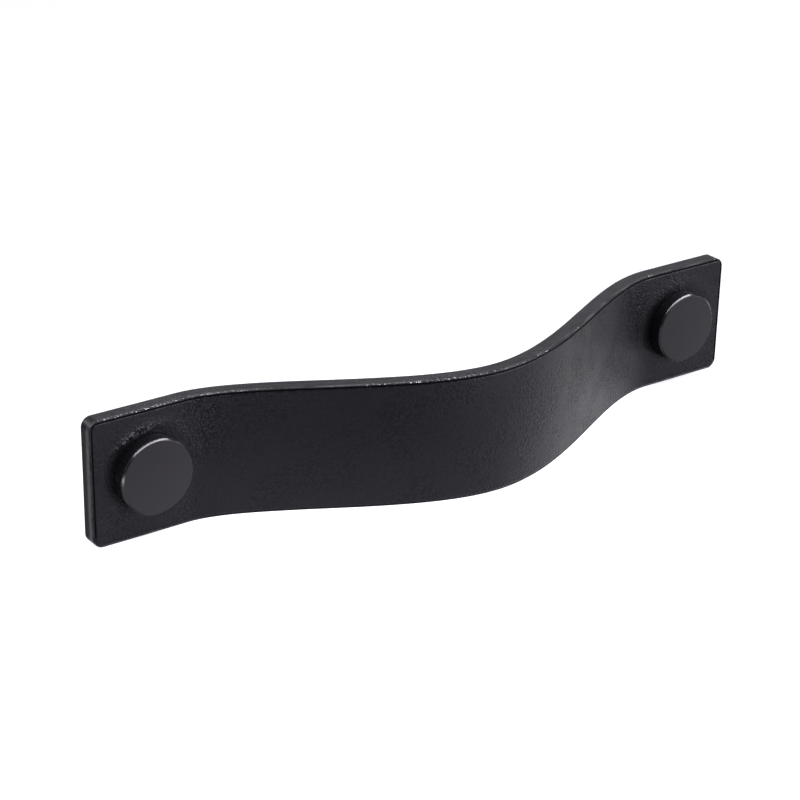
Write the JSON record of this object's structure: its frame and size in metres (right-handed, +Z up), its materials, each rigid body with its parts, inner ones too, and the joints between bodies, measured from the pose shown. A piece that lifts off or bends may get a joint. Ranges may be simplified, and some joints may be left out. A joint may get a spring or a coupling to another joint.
{
  "type": "cabinet handle",
  "caption": "Black leather strap pull for a cabinet door or drawer: a thick strip bowed forward between flat end tabs, with round satin black metal heads that take screws from behind.",
  "frame": {"origin": "on the plane of the cabinet front, midway between the two fixing holes", "axes": "+X along the handle through both holes, +Y into the cabinet front, so the handle stands out towards -Y, +Z up across the strap's width"},
  "size_m": [0.152, 0.025, 0.025],
  "materials": {
    "leather": "black, fine grain, soft satin, cut edges painted black",
    "head_metal": "satin black"
  },
  "bodies": {
    "root": {"strap": "leather", "left_head": "head_metal", "right_head": "head_metal"}
  },
  "joints": []
}
